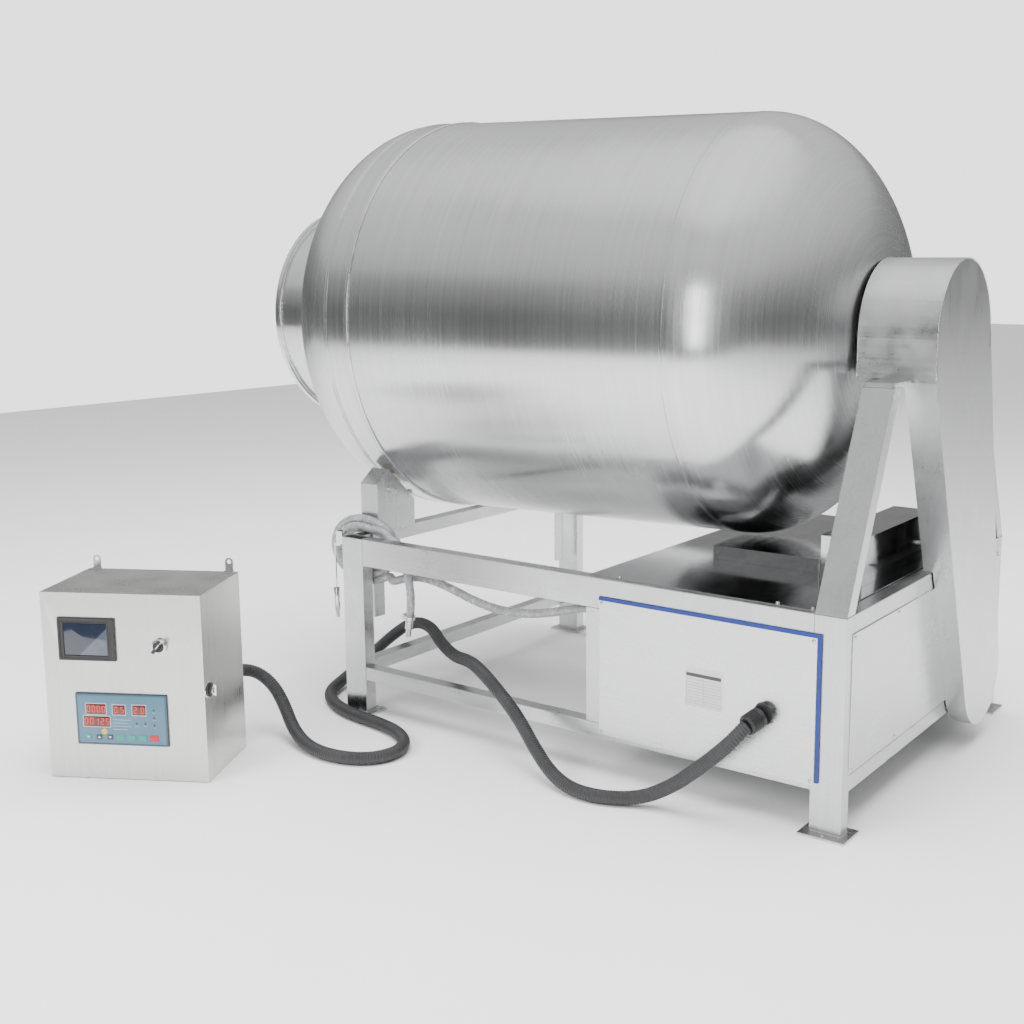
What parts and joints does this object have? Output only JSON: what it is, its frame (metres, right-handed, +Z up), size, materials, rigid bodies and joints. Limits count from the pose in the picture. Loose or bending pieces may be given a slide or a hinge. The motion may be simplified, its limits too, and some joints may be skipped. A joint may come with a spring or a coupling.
{
  "type": "meat vacuum tumbler",
  "caption": "Horizontal stainless drum on a welded tube frame with rollers, a chain drive under a guard, a vacuum hose and a separate control box joined by a conduit.",
  "frame": {"origin": "on the floor at the centre of the frame's four anchor holes", "axes": "+X along the drum towards the drive end, +Z up, -Y is the operator's side with the control box"},
  "size_m": [2.231, 1.9638, 1.751],
  "materials": {
    "frame_steel": "satin brushed tube",
    "panel_steel": "fine satin sheet",
    "deck_steel": "bright rolled sheet",
    "drum_steel": "circumferential brushing",
    "box_steel": "warm satin sheet",
    "machined_steel": "turned",
    "bright_metal": "polished",
    "blue_seal": "smooth",
    "white_seal": "smooth",
    "roller_nylon": "satin",
    "drive_iron": "oiled",
    "motor_paint": "enamel",
    "plate_label": "satin",
    "conduit_plastic": "ribbed",
    "black_plastic": "moulded",
    "hose_plastic": "reinforced clear",
    "screen": "gloss",
    "membrane": "film",
    "electrics": "moulded"
  },
  "bodies": {
    "root": {"frame_legs": "frame_steel", "foot_plates": "frame_steel", "long_rails": "frame_steel", "end_rails": "frame_steel", "housing_posts": "frame_steel", "front_panel": "panel_steel", "panel_seal": "blue_seal", "side_panels": "panel_steel", "floor_pan": "panel_steel", "deck_plate": "deck_steel", "deck_covers": "deck_steel", "panel_screws": "bright_metal", "rating_plate": "plate_label", "drive_stand": "frame_steel", "shaft_bearing": "drive_iron", "chain_guard": "panel_steel", "shaft_cover": "panel_steel", "roller_axles": "bright_metal", "roller_brackets": "frame_steel", "drive_chain": "drive_iron", "gearmotor": "motor_paint", "vacuum_pump": "motor_paint", "box_shell": "box_steel", "box_hinges": "machined_steel", "box_electrics": "electrics", "box_lugs": "machined_steel", "box_gland": "black_plastic", "conduit": "conduit_plastic", "vacuum_hose": "hose_plastic", "vacuum_hose_tail": "hose_plastic", "vacuum_hose_coil": "hose_plastic", "conduit_gland": "black_plastic", "hose_port": "bright_metal", "hose_fittings": "bright_metal", "hose_hook": "bright_metal"},
    "drum": {"drum_shell": "drum_steel", "running_band": "drum_steel", "drum_head_rear": "drum_steel", "drum_head_front": "drum_steel", "drum_neck": "drum_steel", "drum_baffles": "drum_steel", "drum_shaft": "machined_steel", "lid_hinge": "machined_steel"},
    "lid": {"lid": "drum_steel", "lid_handle": "bright_metal", "lid_seal": "white_seal", "hinge_arm": "machined_steel", "vacuum_valve": "bright_metal"},
    "lid_catch": {"lid_catch": "bright_metal"},
    "valve_lever": {"valve_lever": "bright_metal"},
    "front_roller": {"support_roller_front": "roller_nylon"},
    "rear_roller": {"support_roller_rear": "roller_nylon"},
    "drive_wheel": {"drive_sprocket": "drive_iron"},
    "box_door": {"box_door": "box_steel", "hmi_panel": "screen", "controller_panel": "membrane", "selector_ring": "black_plastic", "door_lock": "black_plastic"},
    "selector": {"selector_knob": "black_plastic"},
    "lock_key": {"lock_key": "bright_metal"}
  },
  "joints": [
    {"name": "drum_spin", "type": "hinge", "parent": "root", "child": "drum", "pos_m": [0, 0, 1.154], "axis": [1, 0, 0], "continuous": true},
    {"name": "front_roller_spin", "type": "hinge", "parent": "root", "child": "front_roller", "pos_m": [-0.764, -0.4127, 0.6622], "axis": [1, 0, 0], "continuous": true},
    {"name": "rear_roller_spin", "type": "hinge", "parent": "root", "child": "rear_roller", "pos_m": [-0.764, 0.4127, 0.6622], "axis": [1, 0, 0], "continuous": true},
    {"name": "drive_spin", "type": "hinge", "parent": "root", "child": "drive_wheel", "pos_m": [0.8205, 0.25, 0.2], "axis": [1, 0, 0], "continuous": true},
    {"name": "lid_swing", "type": "hinge", "parent": "drum", "child": "lid", "pos_m": [-1.297, 0.378, 1.154], "axis": [0, 0, -1], "range_deg": [0, 120]},
    {"name": "catch_turn", "type": "hinge", "parent": "lid", "child": "lid_catch", "pos_m": [-1.325, -0.265, 1.154], "axis": [-1, 0, 0], "range_deg": [0, 90]},
    {"name": "valve_turn", "type": "hinge", "parent": "lid", "child": "valve_lever", "pos_m": [-1.346, 0, 1.187], "axis": [0, 0, 1], "range_deg": [0, 90]},
    {"name": "door_swing", "type": "hinge", "parent": "root", "child": "box_door", "pos_m": [-1.08338, -1.33513, 0.248], "axis": [0, 0, -1], "range_deg": [0, 120]},
    {"name": "selector_turn", "type": "hinge", "parent": "box_door", "child": "selector", "pos_m": [-0.77558, -1.22979, 0.363], "axis": [0.4798, -0.8774, 0], "range_deg": [0, 90]},
    {"name": "lock_turn", "type": "hinge", "parent": "box_door", "child": "lock_key", "pos_m": [-0.67919, -1.1372, 0.245], "axis": [0.8774, 0.4798, 0], "range_deg": [0, 90]}
  ],
  "couplings": [
    {"joint": "front_roller_spin", "follows": "drum_spin", "ratio": -13.267},
    {"joint": "rear_roller_spin", "follows": "drum_spin", "ratio": -13.267},
    {"joint": "drive_spin", "follows": "drum_spin", "ratio": 2.6316}
  ]
}
